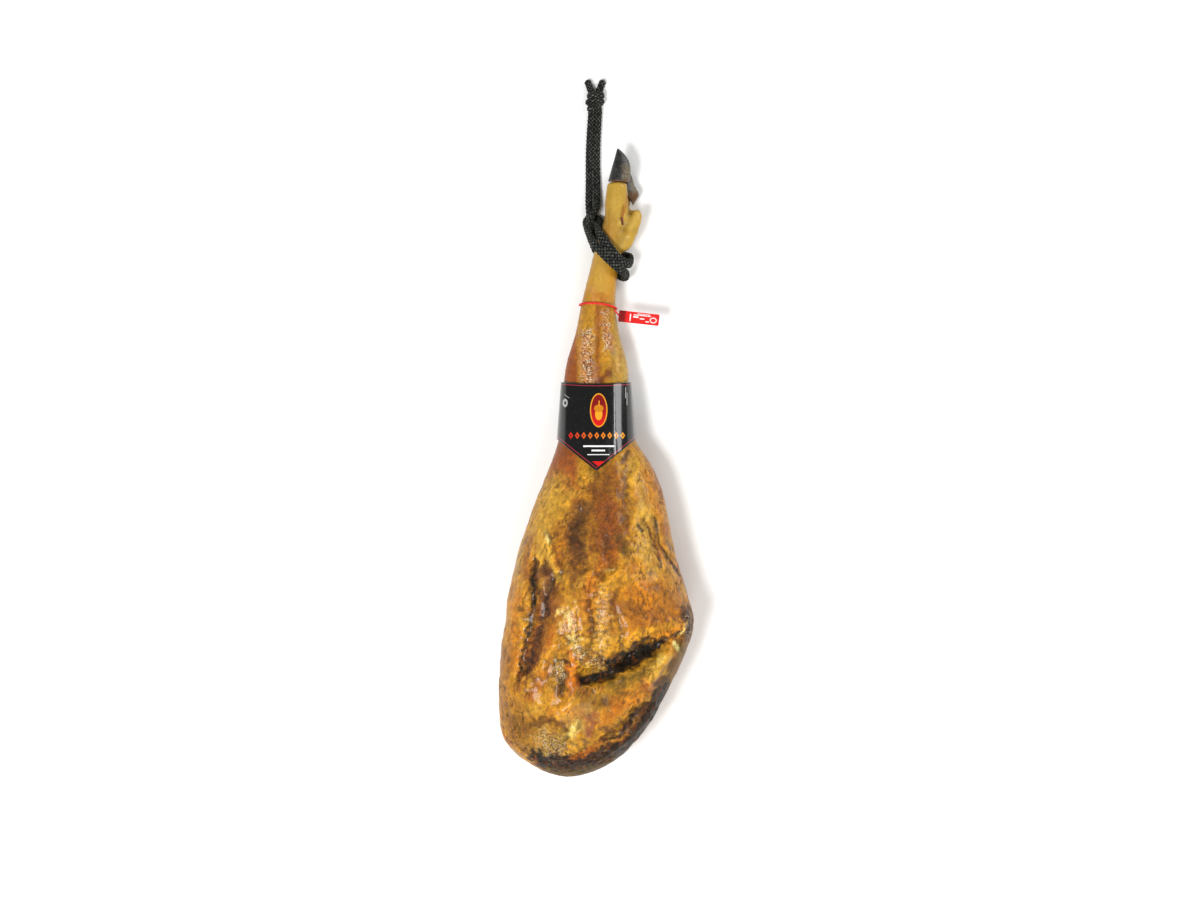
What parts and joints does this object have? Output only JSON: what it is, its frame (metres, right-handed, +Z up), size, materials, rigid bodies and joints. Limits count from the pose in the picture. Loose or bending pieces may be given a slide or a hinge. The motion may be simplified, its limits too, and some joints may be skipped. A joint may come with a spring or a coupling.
{
  "type": "cured ham",
  "caption": "Whole bone-in cured ham leg with trotter and horn claws, card sleeve at the hock, strap seal and hitched hanging rope.",
  "frame": {"origin": "middle of the flat patch on the leg's outer side that it rests on", "axes": "+Z up from the rest patch, through the upper, inner side of the leg; +Y along the leg from the butt to the hoof; +X to the side of the dewclaws"},
  "size_m": [0.2484, 0.8933, 0.1389],
  "materials": {
    "cured_skin": "satin",
    "horn": "satin",
    "glossy_card": "gloss",
    "seal_plastic": "satin",
    "braided_cord": "matte"
  },
  "bodies": {
    "root": {"ham": "cured_skin", "hoof_claw_upper": "horn", "hoof_claw_lower": "horn", "label_band": "glossy_card", "seal_strap": "seal_plastic", "seal_tag": "seal_plastic", "rope": "braided_cord", "rope_knot": "braided_cord"}
  },
  "joints": []
}
